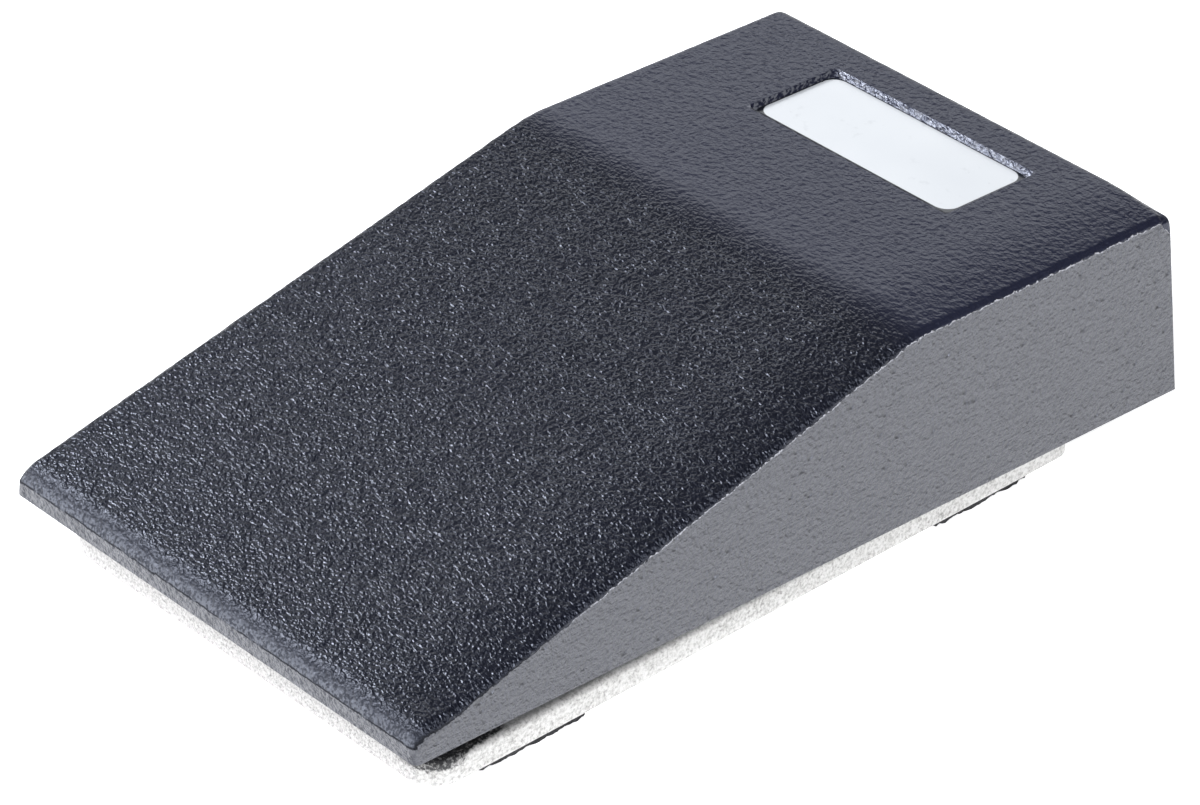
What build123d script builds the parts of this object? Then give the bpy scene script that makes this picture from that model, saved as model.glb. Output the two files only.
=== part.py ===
"""Industrial foot switch: a wedge-shaped cast treadle hinged on a flat cast base,
with a snap-action switch, its terminals, a return spring and a cord inlet inside.

Frame: origin at the middle of the bottom of the whole object's box, +Z up,
+Y towards the heel (hinge and cord inlet), -Y towards the nose, +X to the right
for somebody who looks from the nose to the heel.
All lengths are in millimetres.
"""
import os
from math import sin, cos, radians
from build123d import *

os.makedirs("parts", exist_ok=True)

# ------------------------------------------------------------- driving dimensions
# treadle, measured in its own tilted frame: y from the nose face, z from its lower edge
TREAD_L = 126.4            # nose face to heel, along the lower edge
TREAD_HALF_W = 37.0        # half width at the lower edge
SIDE_DRAFT = 0.09          # the sides lean in by this much per mm of height
NOSE_V = 3.87              # where the slope would meet the nose face, before its rounding
NOSE_R = 2.45              # leaves a flat nose face 2 mm high
RIDGE_Y, RIDGE_Z = 79.62, 25.80
HEEL_TOP_Y, HEEL_TOP_Z = 124.80, 25.90
RIDGE_R = 20.7
HEEL_R = 2.3
EDGE_R = 1.7               # rounding along the treadle's long top edges
WALL_SIDE = 2.8
WALL_TOP = 3.6
WALL_HEEL = 3.4
TILT = 1.88                # nose-up tilt of the treadle at rest, degrees
NOSE_LIFT = 8.40           # height of the nose's lower edge above the floor

# label recess in the treadle's flat top
LABEL_X0, LABEL_X1 = -17.4, 17.95
LABEL_Y0, LABEL_Y1 = 102.2, 117.9
LABEL_DEPTH = 1.1
LABEL_T = 0.25

# base plate, floor height 0 is the underside of the rubber pads
PAD_T = 0.95
BASE_HALF_W = 34.93
BASE_Y0, BASE_Y1 = 4.0, 109.8
BASE_RIM_T = 3.65          # plate thickness at the rim
BASE_FLOOR_T = 2.55        # plate thickness inside the rim
RIM_W = 5.0
PAD_A, PAD_B = 17.0, 17.2  # pad size across and along
PAD_X = 26.2
PAD_Y = (20.4, 94.1)

# hinge
HINGE_Y, HINGE_Z = 98.0, 17.2
PIN_R = 2.38
HINGE_CLEAR = 0.05         # radial running clearance in the base lugs
LUG_X0, LUG_X1 = 24.0, 28.0
LUG_R = 4.6
BOSS_X0 = 28.5
TRAVEL_DEG = 1.88          # full press: the treadle lies parallel to the base

# return spring
SPRING_Y = 46.0
SPRING_OR, SPRING_WIRE = 5.5, 1.2

# snap switch
SW_Y = 75.9                # centre line of the switch across the object
SW_X, SW_T = 24.6, 8.7     # half length, half thickness
SW_Z0, SW_Z1 = 4.0, 17.0   # case bottom and top
COVER_T = 2.0
BOSS_H = 1.0
BUTTON_R = 3.0
BUTTON_TOP = 20.9
MOUNT_X, MOUNT_Z = 22.0, 10.6

# cord inlet
INLET_Z = 12.4
INLET_R = 4.0              # bore of the bushing
UPSTAND_Y0, UPSTAND_Y1 = 105.4, 108.6

Y_MID = TREAD_L * cos(radians(TILT)) / 2.0
S, C = sin(radians(TILT)), cos(radians(TILT))
O_T = Vector(0, -Y_MID, NOSE_LIFT)
EY = Vector(0, C, -S)
EZ = Vector(0, S, C)
BASE_Z0 = PAD_T
RIM_Z = BASE_Z0 + BASE_RIM_T
FLOOR_Z = BASE_Z0 + BASE_FLOOR_T


# planes of the tilted treadle
def t_plan(z):
    return Plane(origin=O_T + EZ * z, x_dir=(1, 0, 0), z_dir=EZ)


def t_side(x):
    return Plane(origin=O_T + Vector(x, 0, 0), x_dir=EY, z_dir=(1, 0, 0))


def t_cross(y):
    return Plane(origin=O_T + EY * y, x_dir=(1, 0, 0), z_dir=EY * -1)


# planes of the level base
def b_plan(z):
    return Plane(origin=(0, -Y_MID, z), x_dir=(1, 0, 0), z_dir=(0, 0, 1))


def b_side(x):
    return Plane(origin=(x, -Y_MID, 0), x_dir=(0, 1, 0), z_dir=(1, 0, 0))


def b_cross(y):
    return Plane(origin=(0, y - Y_MID, 0), x_dir=(1, 0, 0), z_dir=(0, -1, 0))


def to_t(y, z):
    """level (y, height) -> treadle (y, z)"""
    h = z - NOSE_LIFT
    return y * C - h * S, y * S + h * C


def slope_z(y):
    return NOSE_V + (RIDGE_Z - NOSE_V) * y / RIDGE_Y


HY_T, HZ_T = to_t(HINGE_Y, HINGE_Z)

# ---------------------------------------------------------------- treadle casting
ACT_GAP = 0.08
ay_t, az_t = to_t(SW_Y, BUTTON_TOP + ACT_GAP)     # tip of the actuator screw
SEAT_Z = 9.6                                      # spring seat in the treadle
sy_t, _ = to_t(SPRING_Y, 16.2)

# the hollow underside, with the bosses and stops left standing in it
with BuildPart() as treadle_hollow:
    with BuildSketch(t_side(0)):
        with BuildLine():
            Polyline((9, -2), (9, slope_z(9) - WALL_TOP * 1.03),
                     (RIDGE_Y - 0.3, RIDGE_Z - WALL_TOP), (TREAD_L - WALL_HEEL - 1.35, HEEL_TOP_Z - WALL_TOP),
                     (TREAD_L - WALL_HEEL, -2), close=True)
        make_face()
    extrude(amount=TREAD_HALF_W, both=True)
    with BuildSketch(t_cross(0)):
        with BuildLine():
            w0 = TREAD_HALF_W - WALL_SIDE
            Polyline((-w0 - SIDE_DRAFT * 2, -2), (-w0 + SIDE_DRAFT * 30, 30),
                     (w0 - SIDE_DRAFT * 30, 30), (w0 + SIDE_DRAFT * 2, -2), close=True)
        make_face()
    extrude(amount=-(TREAD_L + 3), mode=Mode.INTERSECT)
    # hinge bosses, hung from the ceiling inside both side walls
    for sx in (-1, 1):
        with BuildSketch(t_side(sx * BOSS_X0)):
            with Locations((HY_T, HZ_T)):
                Circle(LUG_R)
            with Locations((HY_T, HZ_T + 10)):
                Rectangle(2 * LUG_R, 20)
        extrude(amount=sx * 12, mode=Mode.SUBTRACT)
    # spring seat and its locating stud
    with BuildSketch(t_plan(SEAT_Z)):
        with Locations((0, sy_t)):
            Circle(6.8)
    extrude(amount=12, mode=Mode.SUBTRACT)
    with BuildSketch(t_plan(SEAT_Z - 2.8)):
        with Locations((0, sy_t)):
            Circle(3.6)
    extrude(amount=12, mode=Mode.SUBTRACT)
    # boss for the actuator screw
    with BuildSketch(t_plan(18.4)):
        with Locations((0, ay_t)):
            Circle(5.0)
    extrude(amount=10, mode=Mode.SUBTRACT)
    # heel stops beside the side walls
    for sx in (-1, 1):
        with BuildSketch(t_plan(0.8)):
            with Locations((sx * 33.0, 106.0)):
                Rectangle(8.0, 4.0)
        extrude(amount=30, mode=Mode.SUBTRACT)

with BuildPart() as treadle_casting:
    with BuildSketch(t_side(0)) as prof:
        with BuildLine():
            Polyline((0, 0), (0, NOSE_V), (RIDGE_Y, RIDGE_Z), (HEEL_TOP_Y, HEEL_TOP_Z),
                     (TREAD_L, 0), close=True)
        make_face()
        fillet(prof.vertices().sort_by_distance((RIDGE_Y, RIDGE_Z, 0))[0], RIDGE_R)
        fillet(prof.vertices().sort_by_distance((HEEL_TOP_Y, HEEL_TOP_Z, 0))[0], HEEL_R)
        fillet(prof.vertices().sort_by_distance((0, NOSE_V, 0))[0], NOSE_R)
    extrude(amount=TREAD_HALF_W + 2, both=True)
    with BuildSketch(t_cross(-1)):
        with BuildLine():
            Polyline((-TREAD_HALF_W, 0), (-TREAD_HALF_W + SIDE_DRAFT * 30, 30),
                     (TREAD_HALF_W - SIDE_DRAFT * 30, 30), (TREAD_HALF_W, 0), close=True)
        make_face()
    extrude(amount=-(TREAD_L + 3), mode=Mode.INTERSECT)
    # rounded long edges, from the nose over the slope, the ridge and the flat top to the heel
    mids = [(e, t_plan(0).to_local_coords(e.center())) for e in treadle_casting.edges()]
    long_edges = [e for e, m in mids if abs(m.X) > 30
                  and ((5 < m.Z and m.Y < TREAD_L - 4) or (2.1 < m.Z < 5) or (20 < m.Z))]
    fillet(long_edges, EDGE_R)
    # hollow underside
    add(treadle_hollow.part, mode=Mode.SUBTRACT)
    # recess for the rating label
    with BuildSketch(t_plan(HEEL_TOP_Z - LABEL_DEPTH)):
        with Locations(((LABEL_X0 + LABEL_X1) / 2, (LABEL_Y0 + LABEL_Y1) / 2)):
            RectangleRounded(LABEL_X1 - LABEL_X0, LABEL_Y1 - LABEL_Y0, 0.6)
    extrude(amount=3, mode=Mode.SUBTRACT)
    # arch in the heel wall, where the cord passes
    with BuildSketch(t_cross(TREAD_L - WALL_HEEL - 3)):
        with Locations((0, 3.0)):
            Rectangle(20, 10)
        with Locations((0, 8.0)):
            Circle(10, mode=Mode.ADD)
        with Locations((0, -12.0)):
            Rectangle(40, 20, mode=Mode.SUBTRACT)
    extrude(amount=-12, mode=Mode.SUBTRACT)
    with BuildSketch(t_cross(TREAD_L - WALL_HEEL - 3)):
        with Locations((0, -1.0)):
            Rectangle(20, 6)
    extrude(amount=-12, mode=Mode.SUBTRACT)
    # pin hole: open on the left side, blind on the right
    with BuildSketch(t_side(-TREAD_HALF_W - 1)):
        with Locations((HY_T, HZ_T)):
            Circle(PIN_R)
    extrude(amount=TREAD_HALF_W + 1 + 33.2, mode=Mode.SUBTRACT)
    # blind tapped hole of the actuator screw
    with BuildSketch(t_plan(az_t - 1)):
        with Locations((0, ay_t)):
            Circle(2.4)
    extrude(amount=21.4 - az_t + 1, mode=Mode.SUBTRACT)
treadle_casting.part.label = "treadle_casting"

# ------------------------------------------------------------------ rating label
with BuildPart() as rating_label:
    with BuildSketch(t_plan(HEEL_TOP_Z - LABEL_DEPTH)):
        with Locations(((LABEL_X0 + LABEL_X1) / 2, (LABEL_Y0 + 0.15 + LABEL_Y1 - 0.45) / 2)):
            RectangleRounded(LABEL_X1 - LABEL_X0 - 0.3, LABEL_Y1 - LABEL_Y0 - 0.6, 1.9)
    extrude(amount=LABEL_T)
rating_label.part.label = "rating_label"

# --------------------------------------------------------------------- hinge pin
PIN_X0, PIN_X1 = -35.2, 33.2
with BuildPart() as hinge_pin:
    with BuildSketch(b_side(PIN_X0)):
        with Locations((HINGE_Y, HINGE_Z)):
            Circle(PIN_R)
    extrude(amount=PIN_X1 - PIN_X0)
    chamfer(hinge_pin.edges().filter_by(GeomType.CIRCLE), 0.4)
hinge_pin.part.label = "hinge_pin"

# ---------------------------------------------------------------- actuator screw
with BuildPart() as actuator_screw:
    with BuildSketch(t_plan(az_t)):
        with Locations((0, ay_t)):
            Circle(2.4)
    extrude(amount=21.3 - az_t)
    fillet(actuator_screw.edges().filter_by(GeomType.CIRCLE).sort_by(Axis.Z)[0], 1.2)
    chamfer(actuator_screw.edges().filter_by(GeomType.CIRCLE).sort_by(Axis.Z)[-1], 0.4)
actuator_screw.part.label = "actuator_screw"

with BuildPart() as actuator_locknut:
    with BuildSketch(t_plan(18.4 - 2.1)):
        with Locations((0, ay_t)):
            RegularPolygon(4.0, 6, major_radius=False)
            Circle(2.4, mode=Mode.SUBTRACT)
    extrude(amount=2.1)
actuator_locknut.part.label = "actuator_locknut"

# ------------------------------------------------------------------ base casting
stop_low = 0.8 * C - 108.0 * S + NOSE_LIFT         # lowest corner of the heel stops
SEAT_FLOOR = FLOOR_Z
with BuildPart() as base_casting:
    with BuildSketch(b_plan(BASE_Z0)) as plate:
        with Locations((0, (BASE_Y0 + BASE_Y1) / 2)):
            Rectangle(2 * BASE_HALF_W, BASE_Y1 - BASE_Y0)
        vs = plate.vertices()
        front = vs.group_by(Axis.Y)[0].sort_by(Axis.X)
        fillet(front[-1], 4.5)
        fillet(plate.vertices().group_by(Axis.Y)[0].sort_by(Axis.X)[0], 6.5)
        fillet(plate.vertices().group_by(Axis.Y)[-1], 2.5)
    extrude(amount=BASE_RIM_T)
    fillet(base_casting.faces().sort_by(Axis.Z)[-1].edges(), 0.8)
    fillet(base_casting.faces().sort_by(Axis.Z)[0].edges(), 0.5)
    # tray inside the rim
    with BuildSketch(b_plan(FLOOR_Z)):
        with Locations((0, (BASE_Y0 + BASE_Y1) / 2 - 0.7)):
            RectangleRounded(2 * (BASE_HALF_W - RIM_W), BASE_Y1 - BASE_Y0 - 2 * RIM_W - 1.4, 3)
    extrude(amount=5, mode=Mode.SUBTRACT)
    # hinge lugs
    for sx in (-1, 1):
        with BuildSketch(b_side(sx * LUG_X0)):
            with Locations((HINGE_Y, HINGE_Z)):
                Circle(LUG_R)
            with Locations((HINGE_Y, (HINGE_Z + BASE_Z0 + 1) / 2)):
                Rectangle(2 * LUG_R, HINGE_Z - BASE_Z0 - 1)
        extrude(amount=sx * (LUG_X1 - LUG_X0))
    # foot webs that stiffen the lugs
    for sx in (-1, 1):
        with BuildSketch(b_cross(HINGE_Y + 1.5)):
            with BuildLine():
                Polyline((sx * 18.5, BASE_Z0 + 1), (sx * LUG_X0, 9.2), (sx * (LUG_X0 + 1), 9.2),
                         (sx * (LUG_X0 + 1), BASE_Z0 + 1), close=True)
            make_face()
        extrude(amount=3)
    # posts behind the switch
    for sx in (-1, 1):
        with BuildSketch(b_plan(BASE_Z0 + 1)):
            with Locations((sx * MOUNT_X, SW_Y + SW_T + 1.9)):
                Rectangle(6.4, 3.8)
        extrude(amount=14.6 - BASE_Z0 - 1)
    # spring seat stud
    with BuildSketch(b_plan(BASE_Z0 + 1)):
        with Locations((0, SPRING_Y)):
            Circle(3.6)
    extrude(amount=FLOOR_Z + 3.4 - BASE_Z0 - 1)
    # boss of the earth screw
    with BuildSketch(b_plan(BASE_Z0 + 1)):
        with Locations((12.5, 98.0)):
            Circle(4.4)
    extrude(amount=FLOOR_Z + 2.0 - BASE_Z0 - 1)
    # heel stop pads
    for sx in (-1, 1):
        with BuildSketch(b_plan(BASE_Z0 + 1)):
            with Locations((sx * 31.4, 105.9)):
                Rectangle(4.4, 3.6)
        extrude(amount=stop_low - 0.05 - BASE_Z0 - 1)
    # rear upstand that holds the cord inlet
    with BuildSketch(b_cross(UPSTAND_Y0)):
        with Locations((0, INLET_Z)):
            Circle(9.0)
        with Locations((0, (INLET_Z + BASE_Z0 + 1) / 2)):
            Rectangle(18.0, INLET_Z - BASE_Z0 - 1)
        with Locations((0, BASE_Z0 + 1.6)):
            Rectangle(22.0, 2.4)
    extrude(amount=-(UPSTAND_Y1 - UPSTAND_Y0))
    # bores of the hinge lugs
    for sx in (-1, 1):
        with BuildSketch(b_side(sx * (LUG_X0 - 1))):
            with Locations((HINGE_Y, HINGE_Z)):
                Circle(PIN_R + HINGE_CLEAR)
        extrude(amount=sx * (LUG_X1 - LUG_X0 + 2), mode=Mode.SUBTRACT)
    # tapped holes behind the switch
    with BuildSketch(b_cross(SW_Y + SW_T)):
        with Locations((-MOUNT_X, MOUNT_Z), (MOUNT_X, MOUNT_Z)):
            Circle(1.5)
    extrude(amount=-5, mode=Mode.SUBTRACT)
    # hole for the cord bushing
    with BuildSketch(b_cross(UPSTAND_Y0 - 1)):
        with Locations((0, INLET_Z)):
            Circle(6.3)
    extrude(amount=-(UPSTAND_Y1 - UPSTAND_Y0 + 2), mode=Mode.SUBTRACT)
    # tapped blind hole of the earth screw
    with BuildSketch(b_plan(FLOOR_Z - 1.2)):
        with Locations((12.5, 98.0)):
            Circle(2.0)
    extrude(amount=6, mode=Mode.SUBTRACT)
base_casting.part.label = "base_casting"

# -------------------------------------------------------------------- foot pads
with BuildPart() as foot_pad_front_right:
    with BuildSketch(b_plan(0)):
        with Locations((PAD_X, PAD_Y[0])):
            RectangleRounded(PAD_A, PAD_B, 1.0)
    extrude(amount=PAD_T)
foot_pad_front_right.part.label = "foot_pad_front_right"

with BuildPart() as foot_pad_front_left:
    with BuildSketch(b_plan(0)):
        with Locations((-PAD_X + 0.9, PAD_Y[0])):
            RectangleRounded(PAD_A, PAD_B, 1.0)
    extrude(amount=PAD_T)
foot_pad_front_left.part.label = "foot_pad_front_left"

with BuildPart() as foot_pad_rear_right:
    with BuildSketch(b_plan(0)):
        with Locations((PAD_X, PAD_Y[1])):
            RectangleRounded(PAD_A, PAD_B, 1.0)
    extrude(amount=PAD_T)
foot_pad_rear_right.part.label = "foot_pad_rear_right"

with BuildPart() as foot_pad_rear_left:
    with BuildSketch(b_plan(0)):
        with Locations((-PAD_X + 0.4, PAD_Y[1])):
            RectangleRounded(PAD_A, PAD_B, 1.0)
    extrude(amount=PAD_T)
foot_pad_rear_left.part.label = "foot_pad_rear_left"

# ---------------------------------------------------------------- return spring
SPRING_Z0 = FLOOR_Z
SPRING_Z1 = SEAT_Z * C - (sy_t + 6.8) * S + NOSE_LIFT - 0.05
SPRING_MR = SPRING_OR - SPRING_WIRE / 2
with BuildPart() as return_spring:
    with BuildLine(Plane(origin=(0, SPRING_Y - Y_MID, SPRING_Z0 + SPRING_WIRE * 0.56))) as sp_path:
        Helix(pitch=(SPRING_Z1 - SPRING_Z0 - SPRING_WIRE * 1.12) / 4.5,
              height=SPRING_Z1 - SPRING_Z0 - SPRING_WIRE * 1.12, radius=SPRING_MR)
    with BuildSketch(Plane(origin=sp_path.line @ 0, z_dir=sp_path.line % 0)):
        Circle(SPRING_WIRE / 2)
    sweep(path=sp_path.line)
return_spring.part.label = "return_spring"

# ------------------------------------------------------------- insulating sheet
with BuildPart() as insulator_sheet:
    with BuildSketch(b_plan(FLOOR_Z)):
        with Locations((0, SW_Y - 0.5)):
            Rectangle(58.0, 18.0)
    extrude(amount=SW_Z0 - FLOOR_Z)
insulator_sheet.part.label = "insulator_sheet"

# ------------------------------------------------------------------ switch case
CAV_X, CAV_Y = 19.4, 6.7
COM_Z, NC_Z, NO_Z, STRIP_T = 8.0, 12.4, 7.2, 0.8
with BuildPart() as switch_case:
    with BuildSketch(b_plan(SW_Z0)):
        with Locations((0, SW_Y)):
            RectangleRounded(2 * SW_X, 2 * SW_T, 0.8)
    extrude(amount=SW_Z1 - SW_Z0)
    with BuildSketch(b_plan(SW_Z0 + 2.2)):
        with Locations((0, SW_Y)):
            Rectangle(2 * CAV_X, 2 * CAV_Y)
    extrude(amount=SW_Z1, mode=Mode.SUBTRACT)
    # slots for the contact strips
    with BuildSketch(b_plan(COM_Z)):
        with Locations((-22, SW_Y)):
            Rectangle(8, 6.4)
    extrude(amount=STRIP_T, mode=Mode.SUBTRACT)
    with BuildSketch(b_plan(NC_Z)):
        with Locations((22, SW_Y - 3.4)):
            Rectangle(8, 6.4)
    extrude(amount=STRIP_T, mode=Mode.SUBTRACT)
    with BuildSketch(b_plan(NO_Z)):
        with Locations((22, SW_Y + 3.4)):
            Rectangle(8, 6.4)
    extrude(amount=STRIP_T, mode=Mode.SUBTRACT)
    # mounting holes through the ends
    with BuildSketch(b_cross(SW_Y - SW_T - 1)):
        with Locations((-MOUNT_X, MOUNT_Z), (MOUNT_X, MOUNT_Z)):
            Circle(1.6)
    extrude(amount=-(2 * SW_T + 2), mode=Mode.SUBTRACT)
    # pilot holes of the cover screws
    with BuildSketch(b_plan(14.0)):
        with Locations((-MOUNT_X, SW_Y), (MOUNT_X, SW_Y)):
            Circle(1.1)
    extrude(amount=5, mode=Mode.SUBTRACT)
switch_case.part.label = "switch_case"

# ----------------------------------------------------------------- switch cover
with BuildPart() as switch_cover:
    with BuildSketch(b_plan(SW_Z1)):
        with Locations((0, SW_Y)):
            RectangleRounded(2 * SW_X, 2 * SW_T, 0.8)
    extrude(amount=COVER_T)
    chamfer(switch_cover.faces().sort_by(Axis.Z)[-1].edges(), 0.3)
    with BuildSketch(b_plan(SW_Z1 + COVER_T)):
        with Locations((0, SW_Y)):
            Circle(4.6)
    extrude(amount=BOSS_H)
    with BuildSketch(b_plan(SW_Z1 - 1)):
        with Locations((0, SW_Y)):
            Circle(BUTTON_R + 0.06)
        with Locations((-MOUNT_X, SW_Y), (MOUNT_X, SW_Y)):
            Circle(1.1)
    extrude(amount=6, mode=Mode.SUBTRACT)
switch_cover.part.label = "switch_cover"

with BuildPart() as switch_cover_screws:
    with BuildSketch(b_plan(14.0)):
        with Locations((-MOUNT_X, SW_Y), (MOUNT_X, SW_Y)):
            Circle(1.1)
    extrude(amount=SW_Z1 + COVER_T - 14.0)
    with BuildSketch(b_plan(SW_Z1 + COVER_T)):
        with Locations((-MOUNT_X, SW_Y), (MOUNT_X, SW_Y)):
            Circle(2.1)
    extrude(amount=1.1)
    fillet(switch_cover_screws.faces().filter_by(Plane.XY).group_by(Axis.Z)[-1].edges(), 0.5)
    for x in (-MOUNT_X, MOUNT_X):
        with BuildSketch(b_plan(SW_Z1 + COVER_T + 0.6)):
            with Locations((x, SW_Y)):
                Rectangle(3.4, 0.6)
        extrude(amount=1, mode=Mode.SUBTRACT)
switch_cover_screws.part.label = "switch_cover_screws"

# ---------------------------------------------------------- button, pin, spring
with BuildPart() as switch_button:
    with BuildSketch(b_side(0)):
        with BuildLine():
            Polyline((SW_Y, BUTTON_TOP), (SW_Y + BUTTON_R, BUTTON_TOP), (SW_Y + BUTTON_R, 16.95),
                     (SW_Y + 4.2, 16.95), (SW_Y + 4.2, 15.95), (SW_Y + 2.3, 15.95),
                     (SW_Y + 2.3, 20.1), (SW_Y, 20.1), close=True)
        make_face()
    revolve(axis=Axis((0, SW_Y - Y_MID, 0), (0, 0, 1)), revolution_arc=360)
    fillet(switch_button.edges().filter_by(GeomType.CIRCLE).sort_by(Axis.Z)[-1], 0.5)
switch_button.part.label = "switch_button"

with BuildPart() as switch_pin:
    with BuildSketch(b_side(0)):
        with BuildLine():
            Polyline((SW_Y, 10.87), (SW_Y + 1.2, 10.87), (SW_Y + 1.4, 11.2), (SW_Y + 1.4, 14.4),
                     (SW_Y + 2.24, 14.4), (SW_Y + 2.24, 16.9), (SW_Y, 16.9), close=True)
        make_face()
    revolve(axis=Axis((0, SW_Y - Y_MID, 0), (0, 0, 1)), revolution_arc=360)
switch_pin.part.label = "switch_pin"

OT_Z0, OT_Z1, OT_W, OT_R = 16.92, 20.08, 0.4, 1.9
with BuildPart() as switch_overtravel_spring:
    with BuildLine(Plane(origin=(0, SW_Y - Y_MID, OT_Z0 + OT_W * 0.56))) as ot_path:
        Helix(pitch=(OT_Z1 - OT_Z0 - OT_W * 1.12) / 3.5, height=OT_Z1 - OT_Z0 - OT_W * 1.12, radius=OT_R)
    with BuildSketch(Plane(origin=ot_path.line @ 0, z_dir=ot_path.line % 0)):
        Circle(OT_W / 2)
    sweep(path=ot_path.line)
switch_overtravel_spring.part.label = "switch_overtravel_spring"

# ------------------------------------------------------- contact blade, contacts
BLADE_Z, BLADE_T = 10.4, 0.4
PIVOT_X, TIP_X = -14.0, 17.0
with BuildPart() as contact_blade:
    with BuildSketch(b_plan(BLADE_Z)):
        with BuildLine():
            Polyline((PIVOT_X - 2.0, SW_Y - 3.0), (3.0, SW_Y - 3.0), (14.2, SW_Y - 2.3), (19.0, SW_Y - 2.3),
                     (19.0, SW_Y + 2.3), (14.2, SW_Y + 2.3), (3.0, SW_Y + 3.0),
                     (PIVOT_X - 2.0, SW_Y + 3.0), close=True)
        make_face()
        with Locations((TIP_X, SW_Y)):
            Circle(1.0, mode=Mode.SUBTRACT)
        with Locations((-7.0, SW_Y)):
            SlotOverall(9.0, 2.4, mode=Mode.SUBTRACT)
    extrude(amount=BLADE_T)
contact_blade.part.label = "contact_blade"

with BuildPart() as moving_contact:
    with BuildSketch(b_plan(9.4)):
        with Locations((TIP_X, SW_Y)):
            Circle(1.7)
    extrude(amount=1.0)
    with BuildSketch(b_plan(BLADE_Z)):
        with Locations((TIP_X, SW_Y)):
            Circle(1.0)
    extrude(amount=BLADE_T)
    with BuildSketch(b_plan(BLADE_Z + BLADE_T)):
        with Locations((TIP_X, SW_Y)):
            Circle(1.7)
    extrude(amount=0.75)
moving_contact.part.label = "moving_contact"

TAB_X0, TAB_X1 = 25.0, 31.4
with BuildPart() as terminal_common:
    with BuildSketch(b_plan(COM_Z)):
        with Locations(((-TAB_X1 - 11.8) / 2, SW_Y)):
            Rectangle(TAB_X1 - 11.8, 6.4)
        with Locations((-28.2, SW_Y)):
            Circle(1.7, mode=Mode.SUBTRACT)
    extrude(amount=STRIP_T)
    # knife edge that the blade rocks on
    with BuildSketch(b_cross(SW_Y - 3.0)):
        with BuildLine():
            Polyline((-15.2, COM_Z + STRIP_T - 0.1), (PIVOT_X - 0.15, BLADE_Z - 0.04), (PIVOT_X + 0.15, BLADE_Z - 0.04),
                     (-12.8, COM_Z + STRIP_T - 0.1), close=True)
        make_face()
    extrude(amount=-6.0)
terminal_common.part.label = "terminal_common"

with BuildPart() as terminal_normally_closed:
    with BuildSketch(b_plan(NC_Z)):
        with BuildLine():
            Polyline((14.6, SW_Y - 2.6), (19.0, SW_Y - 2.6), (19.0, SW_Y - 6.6), (TAB_X1, SW_Y - 6.6),
                     (TAB_X1, SW_Y - 0.2), (19.2, SW_Y - 0.2), (19.0, SW_Y + 2.6), (14.6, SW_Y + 2.6), close=True)
        make_face()
        with Locations((28.2, SW_Y - 3.4)):
            Circle(1.7, mode=Mode.SUBTRACT)
        with Locations((TIP_X, SW_Y)):
            Circle(1.0, mode=Mode.SUBTRACT)
    extrude(amount=STRIP_T)
terminal_normally_closed.part.label = "terminal_normally_closed"

with BuildPart() as terminal_normally_open:
    with BuildSketch(b_plan(NO_Z)):
        with BuildLine():
            Polyline((14.6, SW_Y - 2.6), (19.0, SW_Y - 2.6), (19.2, SW_Y + 0.2), (TAB_X1, SW_Y + 0.2),
                     (TAB_X1, SW_Y + 6.6), (19.0, SW_Y + 6.6), (19.0, SW_Y + 2.6), (14.6, SW_Y + 2.6), close=True)
        make_face()
        with Locations((28.2, SW_Y + 3.4)):
            Circle(1.7, mode=Mode.SUBTRACT)
        with Locations((TIP_X, SW_Y)):
            Circle(1.0, mode=Mode.SUBTRACT)
    extrude(amount=STRIP_T)
terminal_normally_open.part.label = "terminal_normally_open"

with BuildPart() as fixed_contact_closed:
    with BuildSketch(b_plan(NC_Z - 0.8)):
        with Locations((TIP_X, SW_Y)):
            Circle(1.8)
    extrude(amount=0.8)
    with BuildSketch(b_plan(NC_Z)):
        with Locations((TIP_X, SW_Y)):
            Circle(1.0)
    extrude(amount=STRIP_T + 0.4)
fixed_contact_closed.part.label = "fixed_contact_closed"

with BuildPart() as fixed_contact_open:
    with BuildSketch(b_plan(NO_Z + STRIP_T)):
        with Locations((TIP_X, SW_Y)):
            Circle(1.8)
    extrude(amount=0.8)
    with BuildSketch(b_plan(NO_Z - 0.4)):
        with Locations((TIP_X, SW_Y)):
            Circle(1.0)
    extrude(amount=STRIP_T + 0.4)
fixed_contact_open.part.label = "fixed_contact_open"

# -------------------------------------------------------------- terminal screws
TERMINALS = ((-28.2, SW_Y, COM_Z), (28.2, SW_Y - 3.4, NC_Z), (28.2, SW_Y + 3.4, NO_Z))
with BuildPart() as terminal_screws:
    for tx, ty, tz in TERMINALS:
        with BuildSketch(b_plan(tz - 2.4)):
            with Locations((tx, ty)):
                Circle(1.7)
        extrude(amount=2.4 + STRIP_T)
        with BuildSketch(b_plan(tz + STRIP_T)):
            with Locations((tx, ty)):
                Circle(3.0)
        extrude(amount=1.9)
        with BuildSketch(b_plan(tz + STRIP_T + 1.2)):
            with Locations((tx, ty)):
                Rectangle(5.2, 0.8)
        extrude(amount=1, mode=Mode.SUBTRACT)
terminal_screws.part.label = "terminal_screws"

# -------------------------------------------------------- switch mounting screws
HEAD_Y = SW_Y - SW_T - 0.7
with BuildPart() as switch_mounting_screws:
    with BuildSketch(b_cross(HEAD_Y)):
        with Locations((-MOUNT_X, MOUNT_Z), (MOUNT_X, MOUNT_Z)):
            Circle(1.5)
    extrude(amount=-(2 * SW_T + 0.7 + 3.6))
    with BuildSketch(b_cross(HEAD_Y)):
        with Locations((-MOUNT_X, MOUNT_Z), (MOUNT_X, MOUNT_Z)):
            Circle(2.8)
    extrude(amount=2.0)
    with BuildSketch(b_cross(HEAD_Y - 1.2)):
        with Locations((-MOUNT_X, MOUNT_Z), (MOUNT_X, MOUNT_Z)):
            Rectangle(4.8, 0.7)
    extrude(amount=1.2, mode=Mode.SUBTRACT)
switch_mounting_screws.part.label = "switch_mounting_screws"

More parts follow.
